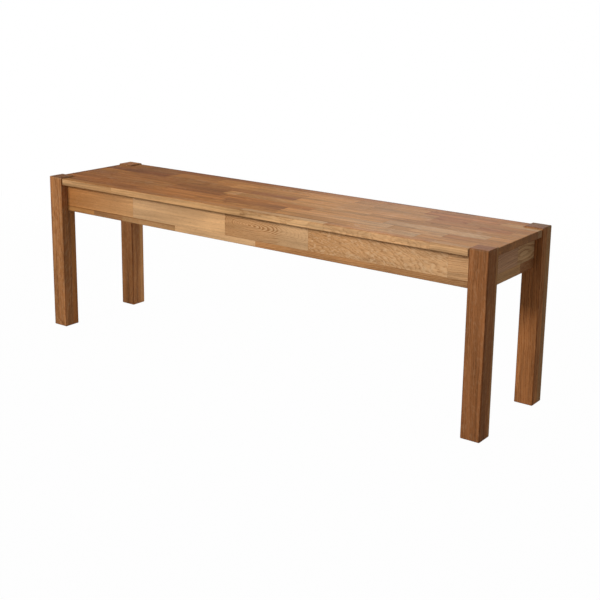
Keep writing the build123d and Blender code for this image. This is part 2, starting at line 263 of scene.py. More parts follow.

# A way of sawing: the pith's place from the stave's middle, how far that spreads from stave to stave,
# the pith's lean across and through, its bow, the pitch of the rings, how plain the rays and rings are,
# and how far the grain wanders. The last three are laid one by one, where the figure is plain to see.
Sawn = namedtuple("Sawn", "place spread lean bow pitch rays figure wander")
STILL = (0.0, 0.0, 0.0)
SAWN = {
    "quarter": Sawn((-550, 120, 6), (150, 24, 8), (0.010, 0.006), 0.0, 2.2, 0.50, 0.8, 1.0),
    "fleck": Sawn((-550, 115, 3), (150, 18, 4), (0.035, 0.012), 0.0, 2.6, 0.7, 0.8, 1.6),
    "rift": Sawn((-550, 80, 62), (150, 22, 16), (0.014, 0.012), 0.0, 2.5, 0.25, 0.8, 1.0),
    "plain": Sawn((-550, 90, 70), (150, 22, 16), (0.004, 0.003), 0.0, 2.1, 0.12, 0.3, 0.7),
    "flat": Sawn((-380, 4, 30), (120, 9, 10), (0.012, 0.045), 0.0, 3.4, 0.16, 1.0, 1.4),
    "cathedral": Sawn((-67, 8, -10), STILL, (-0.02, -0.31), -0.15, 2.7, 0.18, 2.1, 1.2),
    "swirl": Sawn((0, -60, 110), STILL, (0.0, 0.24), 0.0, 3.6, 1.5, 0.6, 2.8),
    "knot": Sawn((-10, -5, 10), STILL, (0.0, 0.25), 0.0, 7.0, 0.2, 1.1, 1.4),
}


# Modelling helpers

def clear_selection():
    bpy.ops.object.select_all(action="DESELECT")


def hold(*pieces):
    """Selects only these pieces and makes the first one active."""
    clear_selection()
    for piece in pieces:
        piece.select_set(True)
    bpy.context.view_layer.objects.active = pieces[0]


def settle(piece):
    """Moves a piece's place, turn and scale into its mesh."""
    hold(piece)
    bpy.ops.object.transform_apply(location=True, rotation=True, scale=True)


def new_piece(name, scale=(1.0, 1.0, 1.0)):
    """Names, sizes and settles the primitive that was just added."""
    piece = bpy.context.object
    piece.name = piece.data.name = name
    piece.scale = scale
    settle(piece)
    return piece


def sized_piece(name, low, high, flat=False):
    """A block of the given size and place, or only its underside."""
    clear_selection()
    middle = (low + high) / 2
    if flat:
        bpy.ops.mesh.primitive_plane_add(size=1.0, location=(middle.x, middle.y, low.z))
    else:
        bpy.ops.mesh.primitive_cube_add(size=1.0, location=middle)
    return new_piece(name, high - low)


def add_object(data):
    """A new object of the scene that carries a mesh, a lamp or a camera."""
    thing = bpy.data.objects.new(data.name, data)
    bpy.context.scene.collection.objects.link(thing)
    return thing


def select_all(kind=None):
    """Selects all of an open piece, by a kind of element where one is given."""
    if kind:
        bpy.ops.mesh.select_mode(type=kind)
    bpy.ops.mesh.select_all(action="SELECT")


def edit(piece):
    """Opens a piece in edit mode with all of it selected."""
    hold(piece)
    bpy.ops.object.mode_set(mode="EDIT")
    select_all()


def leave_edit():
    bpy.ops.object.mode_set(mode="OBJECT")


def pick(piece, kind, test):
    """Selects the vertices, edges or faces of an open piece that pass a test."""
    bpy.ops.mesh.select_mode(type=kind)
    bpy.ops.mesh.select_all(action="DESELECT")
    mesh = bmesh.from_edit_mesh(piece.data)
    mesh.normal_update()
    for element in {"VERT": mesh.verts, "EDGE": mesh.edges, "FACE": mesh.faces}[kind]:
        if test(element):
            element.select_set(True)
    mesh.select_flush_mode()
    bmesh.update_edit_mesh(piece.data)


def edge_middle(edge):
    return (edge.verts[0].co + edge.verts[1].co) / 2


def edge_runs(edge, axis):
    """Whether an edge runs along an axis."""
    along = (edge.verts[1].co - edge.verts[0].co).normalized()
    return abs(along.dot(AXES[axis])) > 0.999


def rim_edge(edge):
    """Whether an edge lies between a level face and an upright one."""
    if len(edge.link_faces) != 2:
        return False
    levels = sorted(abs(face.normal.z) for face in edge.link_faces)
    return levels[0] < 0.1 and levels[1] > 0.9


def close(one, other):
    return abs(one - other) < CLOSE


def along_of(vector, axis):
    return vector["XYZ".index(axis)]


def cut_selected(axis, place):
    """Cuts what is selected across an axis."""
    bpy.ops.mesh.bisect(plane_co=AXES[axis] * place, plane_no=AXES[axis], use_fill=False)


def cut_through(axis, *places):
    """Cuts all of an open piece across an axis at each place."""
    for place in places:
        select_all()
        cut_selected(axis, place)


def take_out(piece, test):
    """Takes out the faces that pass a test, and the cuts' lines on the others."""
    pick(piece, "FACE", test)
    bpy.ops.mesh.delete(type="FACE")
    select_all()
    bpy.ops.mesh.dissolve_limited(angle_limit=math.radians(1))


def raise_faces(height):
    bpy.ops.mesh.extrude_region_move(TRANSFORM_OT_translate={"value": (0, 0, height)})


def face_outwards():
    select_all()
    bpy.ops.mesh.normals_make_consistent(inside=False)


def round_off(piece, test, radius, kind="EDGE", steps=None):
    """Rounds the edges, or the corners, of an open piece that pass a test."""
    pick(piece, kind, test)
    bpy.ops.mesh.bevel(
        offset=radius, segments=steps or settings("sizes").rim_steps, profile=0.5,
        affect="EDGES" if kind == "EDGE" else "VERTICES", clamp_overlap=True,
    )


def row_bounds(rows):
    """The low line, the high line and the staves of each row of a board, in metres."""
    lines = [line * MM for line, _ in rows] + [FAR]
    for index, (_, staves) in enumerate(rows):
        yield lines[index], lines[index + 1], staves


def cut_stave_ends(piece, axes, rows):
    """Cuts each row of an open board where its staves end."""
    along, across, _ = axes
    for low, high, staves in row_bounds(rows):
        for end, *_ in staves[:-1]:
            pick(piece, "FACE", lambda f: low < along_of(f.calc_center_median(), across) < high)
            cut_selected(along, end * MM)


def cut_rows(piece, axes, rows):
    """Cuts an open board between its rows and then between their staves."""
    cut_through(axes[1], *(line * MM for line, _ in rows[1:]))
    cut_stave_ends(piece, axes, rows)


def apply_modifier(piece, kind, **values):
    """Adds a modifier, sets it and applies it."""
    hold(piece)
    bpy.ops.object.modifier_add(type=kind)
    modifier = piece.modifiers[-1]
    for name, value in values.items():
        setattr(modifier, name, value)
    bpy.ops.object.modifier_apply(modifier=modifier.name)


def smooth_piece(piece):
    """Shades the rounded edges smoothly and keeps the flat faces flat."""
    hold(piece)
    bpy.ops.object.shade_smooth_by_angle(angle=SMOOTH_ANGLE)
    apply_modifier(piece, "WEIGHTED_NORMAL", keep_sharp=True, mode="FACE_AREA")


# Marks that the oak's pattern reads

CORNER_MARKS = {"grain_place": "FLOAT_VECTOR", "stave_colour": "FLOAT_COLOR"}
FACE_MARKS = (
    "glue_low", "glue_high", "pith_place", "pith_lean", "ring_marks", "figure_marks", "face_kind"
)


def in_grain(place, axes):
    """A place as a board has it: along, across and through its staves."""
    return Vector([along_of(place, axis) for axis in axes])


def saw_timber(draw, sawn):
    """The marks of a stave's place in its tree: pith, lean, seed, pitch, bow and figure."""
    side = draw.choice((-1.0, 1.0))
    heart = draw.choice((-1.0, 1.0))
    wobble = [draw.uniform(-1.0, 1.0) for _ in range(7)]
    way = SAWN[sawn]
    if way.spread == STILL:
        side = heart = 1.0
        wobble = [0.0] * 7
    place = [way.place[i] + way.spread[i] * wobble[i] for i in range(3)]
    across = side * way.lean[0] * (1.0 + wobble[3])
    through = heart * way.lean[1] * (1.0 + wobble[4])
    bow = heart * way.bow * (1.0 + wobble[5])
    pitch = way.pitch * (1.0 + 0.25 * wobble[6])
    return {
        "pith_place": Vector((place[0], side * place[1], heart * place[2])) * MM,
        "pith_lean": Vector((1.0, across, through)).normalized(),
        "ring_marks": (draw.uniform(0.0, 40.0), pitch, bow),
        "figure_marks": (way.rays, way.figure, way.wander),
    }


def stave_list(piece, axes, rows):
    """Every stave of a board, with its bounds, its colours and its marks."""
    draw = random.Random(piece.name)
    palette = settings("oak")
    places = [in_grain(vertex.co, axes) for vertex in piece.data.vertices]
    low, high = (Vector([end(parts) for parts in zip(*places)]) for end in (min, max))
    seam_row, seam_end, seam = DARK_SEAMS.get(piece.name, NO_SEAM)
    staves = []
    for index, (row_low, row_high, ends) in enumerate(row_bounds(rows)):
        start = low.x
        for end, tone, *way in ends:
            finish = min(end * MM, high.x)
            first = Vector((start, max(row_low, low.y), low.z))
            last = Vector((finish, min(row_high, high.y), high.z))
            start = finish
            middle = (first + last) / 2
            glue_low, glue_high = (
                Vector([none if here[i] == edge[i] else here[i] - middle[i] for i in (0, 1)] + [0])
                for here, edge, none in ((first, low, -FAR), (last, high, FAR))
            )
            if index == seam_row and end <= seam_end:
                glue_high.y -= seam * MM
            shade = 1.0 + draw.uniform(-0.06, 0.06)
            warmth = draw.uniform(-0.04, 0.04)
            cast = Vector((shade * (1 + warmth), shade, shade * (1 - warmth)))
            top, _, side = tone.rpartition(" over ")
            tops, sides = (
                [Vector(getattr(palette, name)) * cast for name in names.split(" to ")]
                for names in (top or side, side)
            )
            marks = saw_timber(draw, *(way or ["rift"]))
            marks.update(glue_low=glue_low, glue_high=glue_high)
            staves.append((first, last, tops, sides, marks))
    return staves


def mark_staves(piece, axes, rows, end_tone=1.0, front_rim=1.0):
    """Gives each face the colour and the marks of its stave."""
    mesh = piece.data
    staves = stave_list(piece, axes, rows)
    for name, kind in CORNER_MARKS.items():
        mesh.attributes.new(name, kind, "CORNER")
    for name in FACE_MARKS:
        mesh.attributes.new(name, "FLOAT_VECTOR", "FACE")
    layers = {name: mesh.attributes[name].data for name in (*CORNER_MARKS, *FACE_MARKS)}

    def beyond(first, last, place):
        """How far a place lies outside a stave's length and width."""
        return sum(max(first[i] - place[i], place[i] - last[i], 0.0) for i in (0, 1))

    for face in mesh.polygons:
        centre = in_grain(face.center, axes)
        first, last, tops, sides, marks = min(staves, key=lambda s: beyond(*s[:2], centre))
        facing_end = abs(along_of(face.normal, axes[0]))
        dark = 0.0
        # Rounded faces take the edge darkening, part dark oil and part painted shade, weaker on rims that
        # face forwards
        if max(abs(part) for part in face.normal) < FLAT:
            dark = 1.0 if face.normal.y > FORWARDS else front_rim
            if facing_end > ENDWARDS:
                dark *= END_RIM
        layers["face_kind"][face.index].vector = (dark, facing_end, end_tone)
        for name, value in marks.items():
            layers[name][face.index].vector = value
        tones = tops if face.normal.z > UPWARDS else sides
        for corner in face.loop_indices:
            place = in_grain(mesh.vertices[mesh.loops[corner].vertex_index].co, axes)
            layers["grain_place"][corner].vector = place - (first + last) / 2
            reached = min(max((place.x - first.x) / (last.x - first.x), 0.0), 1.0)
            layers["stave_colour"][corner].color = (*tones[0].lerp(tones[-1], reached), 1.0)


# Node helpers

class Wiring:
    """Adds nodes to a tree and links them as they are added."""

    def __init__(self, tree):
        self.tree = tree

    def node(self, kind, inputs=None, **values):
        count = len(self.tree.nodes)
        node = self.tree.nodes.new(kind)
        node.location = (count % 10 * 190, -(count // 10) * 300)
        for name, value in values.items():
            setattr(node, name, value)
        for key, value in (inputs or {}).items():
            if isinstance(value, bpy.types.NodeSocket):
                self.tree.links.new(value, node.inputs[key])
            else:
                node.inputs[key].default_value = value
        return node

    def effect(self, draw, inputs=None):
        """The outputs of the effect that a function draws."""
        return self.node("ShaderNodeGroup", inputs, node_tree=effect(draw)).outputs

    def math(self, operation, first, second=0.0, third=0.0, clamp=False):
        return self.node(
            "ShaderNodeMath", {0: first, 1: second, 2: third}, operation=operation, use_clamp=clamp
        ).outputs[0]

    def times(self, first, second):
        return self.math("MULTIPLY", first, second)

    def plus(self, first, second, clamp=False):
        return self.math("ADD", first, second, clamp=clamp)

    def less(self, first, second):
        return self.math("SUBTRACT", first, second)

    def vector(self, operation, first, second=(0.0, 0.0, 0.0)):
        node = self.node("ShaderNodeVectorMath", {0: first, 1: second}, operation=operation)
        return node.outputs["Value" if operation in ("LENGTH", "DOT_PRODUCT") else "Vector"]

    def scaled(self, vector, factor):
        node = self.node("ShaderNodeVectorMath", {0: vector, "Scale": factor}, operation="SCALE")
        return node.outputs["Vector"]

    def parts(self, vector):
        return self.node("ShaderNodeSeparateXYZ", {0: vector}).outputs

    def joined(self, x, y, z):
        return self.node("ShaderNodeCombineXYZ", {0: x, 1: y, 2: z}).outputs[0]

    def noise(self, place, stretch=None, detail=2.0, roughness=0.5):
        """Noise on a place, stretched by a vector where one is given."""
        if stretch:
            place = self.vector("MULTIPLY", place, stretch)
        return self.node(
            "ShaderNodeTexNoise",
            {"Vector": place, "Scale": 1.0, "Detail": detail, "Roughness": roughness},
        ).outputs

    def step(self, value, low, high, out_low=0.0, out_high=1.0):
        return self.node(
            "ShaderNodeMapRange",
            {"Value": value, "From Min": low, "From Max": high, "To Min": out_low, "To Max": out_high},
            interpolation_type="SMOOTHSTEP",
        ).outputs[0]

    def mix(self, amount, first, second, blend="MIX"):
        return self.node(
            "ShaderNodeMix", {0: amount, 6: first, 7: second}, data_type="RGBA", blend_type=blend
        ).outputs[2]

    def shaded(self, colour, tone):
        """A colour made darker or lighter by a tone."""
        return self.mix(1.0, colour, self.joined(tone, tone, tone), "MULTIPLY")

    def stained(self, amount, colour, stain):
        """A colour stained as far as the amount says."""
        return self.mix(amount, colour, self.mix(1.0, colour, stain, "MULTIPLY"))

    def attribute(self, name, output="Vector"):
        return self.node("ShaderNodeAttribute", attribute_name=name).outputs[output]

    def object_place(self):
        return self.node("ShaderNodeTexCoord").outputs["Object"]


def fresh_wiring(holder):
    """The wiring of a new material or world, with nothing in it yet."""
    holder.use_nodes = True
    holder.node_tree.nodes.clear()
    return Wiring(holder.node_tree)


# The inputs of the effects, with what they are where nothing is said
EFFECT_INPUTS = {
    "glue_lines": {"Width": 0.0005},
    "oiled_oak": {
        "Ray Colour": (0.7, 0.5, 0.3, 1.0), "Streak Strength": 0.16, "Cloud Strength": 0.06,
        "Ring Strength": 0.7, "Pore Strength": 0.7, "Edge Strength": 0.5, "Roughness": 0.5,
        "End Grey": 0.0, "Back Rim Strength": 0.0, "Proud Wear": 0.0, "Ray Strength": 0.8,
        "Glue Strength": 0.6,
    },
    "zinc_coat": {"Color": (0.6, 0.6, 0.6, 1.0), "Roughness": 0.3, "Spangle Scale": 220.0,
                  "Spangle Strength": 0.16},
    "beech_flecks": {"Color": (0.6, 0.4, 0.25, 1.0)},
}


def effect(draw):
    """The node group that a function draws and gives its name to, built once."""
    name = draw.__name__
    if name in bpy.data.node_groups:
        return bpy.data.node_groups[name]
    tree = bpy.data.node_groups.new(name, "ShaderNodeTree")

    def add_socket(label, way, colour):
        kind = "NodeSocketColor" if colour else "NodeSocketFloat"
        return tree.interface.new_socket(label, in_out=way, socket_type=kind)

    for label, default in EFFECT_INPUTS.get(name, {}).items():
        add_socket(label, "INPUT", isinstance(default, tuple)).default_value = default
    wiring = Wiring(tree)
    results = draw(wiring, wiring.node("NodeGroupInput").outputs)
    for label in results:
        add_socket(label, "OUTPUT", label == "Color")
    wiring.node("NodeGroupOutput", results)
    return tree


def oak_figure(w, _):
    """Rings, pores, rays and streaks of oak, from the stave's place in its tree."""
    place = w.attribute("grain_place")
    ring = w.parts(w.attribute("ring_marks"))
    marks = w.parts(w.attribute("figure_marks"))
    seed = ring["X"]
    shift = w.scaled((1.0, 0.61, 0.37), seed)
    own = w.vector("ADD", place, shift)

    def wander(stretch, reach):
        drift = w.vector("SUBTRACT", w.noise(own, stretch)["Color"], (0.5, 0.5, 0.5))
        return w.vector("MULTIPLY", drift, (0.0, reach, reach))

    # The grain strays from its straight way, slowly and quickly
    stray = w.vector("ADD", wander((8.0, 20.0, 20.0), 0.010), wander((45.0, 100.0, 100.0), 0.0024))
    bent = w.vector("ADD", place, w.scaled(stray, marks["Z"]))
    follow = w.vector("ADD", bent, shift)

    # How far along the tree a place lies, and how far and which way from its bowed pith
    lean = w.attribute("pith_lean")
    from_pith = w.vector("SUBTRACT", bent, w.attribute("pith_place"))
    axial = w.vector("DOT_PRODUCT", from_pith, lean)
    off = w.math("ABSOLUTE", axial)
    bow = w.times(w.math("DIVIDE", w.times(off, off), w.plus(off, 0.05)), ring["Z"])
    from_pith = w.vector("ADD", from_pith, w.joined(0.0, 0.0, bow))
    radial = w.vector("SUBTRACT", from_pith, w.scaled(lean, axial))
    radius = w.vector("LENGTH", radial)
    sides = w.parts(radial)
    turn = w.math("ARCTAN2", sides["Z"], sides["Y"])

    # Growth rings of uneven years, with the pores thickest in their early wood
    years = w.noise(w.joined(w.times(radius, 90.0), seed, 0.0), detail=1.0)[0]
    age = w.math("DIVIDE", w.times(radius, 1000.0), ring["Y"])
    part = w.math("FRACT", w.plus(age, w.times(years, 2.2)))
    early = w.times(w.step(part, 0.0, 0.10), w.step(part, 0.12, 0.72, 1.0, 0.0))
    pores = w.step(w.noise(follow, (85.0, 2300.0, 2300.0), detail=1.0)[0], 0.56, 0.70)
    pores = w.times(pores, w.step(early, 0.0, 0.8, 0.18, 1.0))
    broken = w.noise(follow, (16.0, 330.0, 330.0))[0]
    rings = w.times(early, w.step(broken, 0.30, 0.62, 0.35, 1.0))
    rings = w.times(rings, marks["Y"])

    # A bowed pith's arches end some way along the stave
    calm = w.times(w.step(axial, 0.085, 0.12), ring["Z"])
    rings = w.times(rings, w.math("MULTIPLY_ADD", calm, 6.0, 1.0))

    # Rays run out from the pith; streaks and clouds run with the grain
    sheared = w.plus(w.times(axial, 75.0), w.times(radius, 110.0))
    ray_place = w.joined(sheared, w.times(radius, 60.0), w.times(turn, 26.0))
    rays = w.times(w.step(w.noise(ray_place)[0], 0.46, 0.72), marks["X"])
    broad = w.noise(follow, (2.4, 62.0, 62.0), detail=3.0, roughness=0.62)[0]
    narrow = w.noise(follow, (3.5, 200.0, 200.0))[0]
    streaks = w.plus(w.step(broad, 0.25, 0.75, -1.0, 1.0), w.step(narrow, 0.28, 0.72, -1.0, 1.0))
    cloud = w.step(w.noise(own, (6.0, 14.0, 14.0), detail=1.0)[0], 0.3, 0.7, -1.0, 1.0)
    return {"Rings": rings, "Pores": pores, "Rays": rays, "Streaks": streaks, "Cloud": cloud,
            "Fine": broken}


def glue_lines(w, given):
    """A mask of the hairlines where one stave is glued to the next."""
    place = w.attribute("grain_place")
    below = w.vector("SUBTRACT", place, w.attribute("glue_low"))
    above = w.vector("SUBTRACT", w.attribute("glue_high"), place)
    room = w.parts(w.vector("MINIMUM", below, above))
    nearest = w.math("MINIMUM", room["X"], room["Y"])
    return {"Line": w.step(nearest, 0.0, given["Width"], 1.0, 0.0)}


def oiled_oak(w, given):
    """Colour, roughness and relief of oiled oak."""
    figure = w.effect(oak_figure)
    line = w.effect(glue_lines)["Line"]
    kind = w.parts(w.attribute("face_kind"))
    place = w.parts(w.object_place())
    low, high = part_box("seat_board")

    # The stave's colour with its figure
    lift = w.times(figure["Streaks"], given["Streak Strength"])
    lift = w.plus(lift, w.times(figure["Cloud"], given["Cloud Strength"]))
    toned = w.shaded(w.attribute("stave_colour", "Color"), w.plus(lift, 1.0))
    rings = w.times(figure["Rings"], given["Ring Strength"])
    toned = w.stained(rings, toned, (0.60, 0.47, 0.36, 1.0))
    rays = w.times(figure["Rays"], given["Ray Strength"])
    rays = w.times(rays, w.less(1.0, kind["Y"]))
    toned = w.mix(rays, toned, w.mix(0.5, toned, given["Ray Colour"]))
    pores = w.times(figure["Pores"], given["Pore Strength"])
    toned = w.stained(pores, toned, (0.38, 0.28, 0.21, 1.0))

    # End grain has drunk more oil, and the sides of a leg's top are rubbed pale
    ends = w.step(kind["Y"], 0.3, 0.9)
    worn = w.mix(1.0, toned, w.scaled((0.74, 0.67, 0.58), kind["Z"]), "MULTIPLY")
    worn = w.mix(given["End Grey"], worn, (0.26, 0.17, 0.12, 1.0))
    toned = w.mix(ends, toned, worn)
    proud = w.times(w.step(place["Z"], high.z - MM, high.z + 0.5 * MM), w.less(1.0, ends))
    toned = w.stained(w.times(proud, given["Proud Wear"]), toned, (1.1, 1.35, 1.7, 1.0))

    # Eased edges are darkened, partly as dark oil and partly as painted shade; a band of painted shade
    # runs along the seat's back and left rims, and the glue lines are dark
    edge_mottle = w.noise(w.attribute("grain_place"), (60.0, 60.0, 60.0))[0]
    dark = w.times(kind["X"], w.step(edge_mottle, 0.25, 0.7, 0.65, 1.0))
    dark = w.times(dark, given["Edge Strength"])
    # Painted shade: a dark band along the seat's back and left rims, standing in for the shade of its far
    # rims
    left = w.step(place["X"], low.x + 2.5 * MM, low.x + 16.5 * MM, 1.0, 0.0)
    painted_rim_shade = w.step(place["Y"], high.y - 15.5 * MM, high.y - 2.5 * MM)
    painted_rim_shade = w.math("MAXIMUM", painted_rim_shade, left)
    painted_rim_shade = w.times(painted_rim_shade, w.step(place["Z"], high.z - 6 * MM, high.z))
    dark = w.math("MAXIMUM", dark, w.times(painted_rim_shade, given["Back Rim Strength"]))
    toned = w.stained(dark, toned, (0.50, 0.41, 0.34, 1.0))
    toned = w.stained(w.times(line, given["Glue Strength"]), toned, (0.45, 0.34, 0.27, 1.0))

    rough = w.plus(given["Roughness"], w.times(figure["Pores"], 0.16))
    rough = w.less(rough, w.times(rays, 0.08))
    rough = w.plus(rough, w.times(figure["Fine"], 0.06), clamp=True)
    height = w.less(w.times(figure["Pores"], -1.0), w.times(figure["Rings"], 0.35))
    height = w.less(height, w.times(line, 0.6))
    return {"Color": toned, "Roughness": rough, "Height": height}


def zinc_coat(w, given):
    """Colour, roughness and relief of zinc, with its spangle, rolling marks and stains."""
    place = w.object_place()
    cells = w.node("ShaderNodeTexVoronoi", {"Vector": place, "Scale": given["Spangle Scale"]})
    flake = w.parts(cells.outputs["Color"])["X"]
    rolled = w.noise(place, (900.0, 900.0, 60.0))[0]
    stain = w.noise(place, (55.0, 55.0, 55.0), detail=3.0, roughness=0.6)[0]
    stain = w.step(stain, 0.45, 0.75)
    tone = w.plus(0.88, w.times(flake, given["Spangle Strength"]))
    tone = w.plus(tone, w.times(w.less(rolled, 0.5), 0.12))
    toned = w.mix(w.times(stain, 0.35), w.shaded(given["Color"], tone), (0.36, 0.35, 0.33, 1.0))
    rough = w.plus(given["Roughness"], w.times(flake, 0.10))
    rough = w.plus(rough, w.times(stain, 0.18))
    height = w.plus(w.times(rolled, 0.6), w.times(flake, 0.2))
    return {"Color": toned, "Roughness": rough, "Height": height}


def beech_flecks(w, given):
    """Bare beech: fine short flecks along the dowel."""
    place = w.object_place()
    fleck = w.step(w.noise(place, (900.0, 160.0, 900.0), detail=1.0)[0], 0.55, 0.68)
    grain = w.noise(place, (300.0, 20.0, 300.0), detail=3.0)[0]
    toned = w.shaded(given["Color"], w.step(grain, 0.3, 0.7, 0.86, 1.08))
    toned = w.mix(w.times(fleck, 0.5), toned, (0.30, 0.16, 0.09, 1.0))
    return {"Color": toned, "Roughness": w.plus(0.6, w.times(grain, 0.1)),
            "Height": w.times(fleck, -1.0)}


# Finishes

# For each effect, the strength and depth of its relief, and one more input of its shader
FINISHING = {
    oiled_oak: (0.35, 0.0004, "Specular IOR Level"),
    zinc_coat: (0.25, 0.0002, "Metallic"),
    beech_flecks: (0.3, 0.0002, "Specular IOR Level"),
}

# Each finish: its effect, its colour's setting, its shader's input, and the effect's other inputs
FINISHES = {
    "seat_oak": (oiled_oak, "oak.ray", 0.02, 0.20, 0.12, 0.6, 0.6, 1.0, 0.56, 0.3, 0.85),
    "leg_oak": (oiled_oak, "oak.ray", 0.04, 0.18, 0.08, 0.6, 0.85, 0.7, 0.62, 0.15, 0.0, 0.8),
    "apron_oak": (oiled_oak, "oak.ray", 0.07, 0.10, 0.12, 0.85, 0.75, 0.5, 0.58),
    "rail_oak": (oiled_oak, "oak.ray", 0.05, 0.14, 0.06, 0.7, 0.7, 0.3, 0.68),
    "zinc_sheet": (zinc_coat, "metal.sheet", 1.0, 0.34, 170.0, 0.20),
    "zinc_fastener": (zinc_coat, "metal.fastener", 1.0, 0.26, 520.0, 0.10),
    "beech_dowel": (beech_flecks, "oak.beech", 0.25),
}


def finish_of(slot):
    """The finish of a slot: a material that shows an effect, built once."""
    name = slot + "_finish"
    if name in bpy.data.materials:
        return bpy.data.materials[name]
    draw, tint, shader_value, *values = FINISHES[slot]
    relief, depth, shader_input = FINISHING[draw]
    group, tone = tint.split(".")
    values.insert(0, (*getattr(settings(group), tone), 1.0))
    material = bpy.data.materials.new(name)
    w = fresh_wiring(material)
    look = w.effect(draw, dict(zip(EFFECT_INPUTS[draw.__name__], values)))
    bump = w.node("ShaderNodeBump", {"Strength": relief, "Distance": depth, "Height": look["Height"]})
    shader = w.node("ShaderNodeBsdfPrincipled", {
        "Base Color": look["Color"], "Roughness": look["Roughness"], "Normal": bump.outputs["Normal"],
        shader_input: shader_value,
    })
    w.node("ShaderNodeOutputMaterial", {"Surface": shader.outputs[0]})
    return material


def coat(piece, slot):
    """Gives a piece the finish of a slot and nothing else."""
    piece.data.materials.clear()
    piece.data.materials.append(finish_of(slot))


def present(piece, node, slot):
    """Lets a finished piece stand for a node of the frame."""
    coat(piece, slot)
    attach(piece, BODY)
    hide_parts(node)


def finish_timber(piece, node, slot, axes, rows, **marks):
    """Closes a board, smooths it, marks its staves and presents it."""
    leave_edit()
    smooth_piece(piece)
    mark_staves(piece, axes, rows, **marks)
    present(piece, node, slot)


# Timber pieces

def seat_outline(piece, high):
    """Cuts the four notches out of the seat's plan and rounds its corners."""
    sizes = settings("sizes")
    notch_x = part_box("leg_front_right")[0].x - sizes.notch_gap
    notch_y = -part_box("leg_front_left")[1].y - sizes.notch_gap

    def in_notch(face):
        centre = face.calc_center_median()
        return abs(centre.x) > notch_x and abs(centre.y) > notch_y

    def at(vertex, x, y):
        return close(abs(vertex.co.x), x) and close(abs(vertex.co.y), y)

    def at_opening(vertex):
        return at(vertex, notch_x, high.y) or at(vertex, high.x, notch_y)

    edit(piece)
    cut_through("X", -notch_x, notch_x)
    cut_through("Y", -notch_y, notch_y)
    take_out(piece, in_notch)
    round_off(piece, lambda v: at(v, notch_x, notch_y), sizes.notch_corner, "VERT", steps=6)
    round_off(piece, at_opening, sizes.seat_corner, "VERT")
    leave_edit()


class BENCH_OT_seat(bpy.types.Operator):
    """Builds the seat board from its nine rows of staves, notched round the legs"""

    bl_idname = "bench.seat"
    bl_label = "Seat Board"

    def execute(self, context):
        low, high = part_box("seat_board")
        piece = sized_piece("seat_staves", low, high, flat=True)
        seat_outline(piece, high)
        edit(piece)
        cut_rows(piece, "XYZ", SEAT_ROWS)
        select_all("FACE")
        raise_faces(high.z - low.z)
        face_outwards()
        round_off(piece, rim_edge, settings("sizes").seat_rim)
        finish_timber(piece, "seat_board", "seat_oak", "XYZ", SEAT_ROWS, front_rim=SEAT_FRONT_RIM)
        return {"FINISHED"}


def cut_flat(piece, low, high):
    """Takes the flat for the bolts off the leg's inner corner."""
    sizes = settings("sizes")
    apron_low, apron_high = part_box("apron_front")
    inner_x, inner_y = (min(sides, key=abs) for sides in zip(low.xy, high.xy))
    tall = apron_high.z - apron_low.z - 2 * sizes.bolt_flat_margin
    across_flat = (2 * sizes.bolt_flat, sizes.bolt_flat * math.sqrt(2))
    if inner_x * inner_y > 0:
        across_flat = across_flat[::-1]
    clear_selection()
    centre = (inner_x, inner_y, (apron_low.z + apron_high.z) / 2)
    bpy.ops.mesh.primitive_cube_add(size=1.0, location=centre, rotation=(0, 0, math.radians(45)))
    cutter = new_piece("flat_cutter", (*across_flat, tall))
    apply_modifier(piece, "BOOLEAN", operation="DIFFERENCE", solver="EXACT", object=cutter)
    bpy.data.objects.remove(cutter)


class BENCH_OT_legs(bpy.types.Operator):
    """Builds the four legs, each glued from two lamellae, with the flat for its bolts"""

    bl_idname = "bench.legs"
    bl_label = "Legs"

    def execute(self, context):
        sizes = settings("sizes")
        for corner in CORNERS:
            node = "leg_" + corner
            rows = LEG_ROWS[corner]
            low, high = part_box(node)
            piece = sized_piece("leg_post_" + corner, low, high)
            edit(piece)
            round_off(piece, lambda edge: edge_runs(edge, "Z"), sizes.leg_edge)
            round_off(piece, rim_edge, sizes.leg_end)
            leave_edit()
            cut_flat(piece, low, high)
            edit(piece)
            cut_rows(piece, "ZYX", rows)
            finish_timber(piece, node, "leg_oak", "ZYX", rows, end_tone=LEG_END_TONE[corner])
        return {"FINISHED"}


def build_apron(node, axes):
    """Raises an apron row by row from a plan with its saw cuts, and cuts its staves' ends."""
    sizes = settings("sizes")
    rows = APRON_ROWS[node]
    low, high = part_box(node)
    along, _, through = axes
    sides = [along_of(end, through) for end in (low, high)]
    inner = min(sides, key=abs)
    floor_of_cut = inner + math.copysign(sizes.saw_cut_depth, inner)
    inner_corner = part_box("apron_right")[0].x if along == "X" else -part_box("apron_front")[1].y
    middle = inner_corner - sizes.saw_cut_place
    half = sizes.saw_cut_width / 2

    def in_saw_cut(face):
        centre = face.calc_center_median()
        beside = abs(abs(along_of(centre, along)) - middle) < half
        return beside and abs(along_of(centre, through) - inner) < sizes.saw_cut_depth

    def lower_edge(edge):
        place = edge_middle(edge)
        at_side = any(close(along_of(place, through), side) for side in sides)
        return edge_runs(edge, along) and close(place.z, low.z) and at_side

    piece = sized_piece(node + "_staves", low, high, flat=True)
    edit(piece)
    cut_through(along, -middle - half, -middle + half, middle - half, middle + half)
    cut_through(through, floor_of_cut)
    take_out(piece, in_saw_cut)
    select_all("FACE")
    level = low.z
    for next_level in [line * MM for line, _ in rows[1:]] + [high.z]:
        raise_faces(next_level - level)
        level = next_level
    face_outwards()
    round_off(piece, lower_edge, sizes.apron_edge)
    cut_stave_ends(piece, axes, rows)
    finish_timber(piece, node, "apron_oak", axes, rows)


class BENCH_OT_aprons(bpy.types.Operator):
    """Builds the four aprons from their staves"""

    bl_idname = "bench.aprons"
    bl_label = "Aprons"

    def execute(self, context):
        for node in APRON_ROWS:
            build_apron(node, "XZY" if node in LONG_APRONS else "YZX")
        return {"FINISHED"}


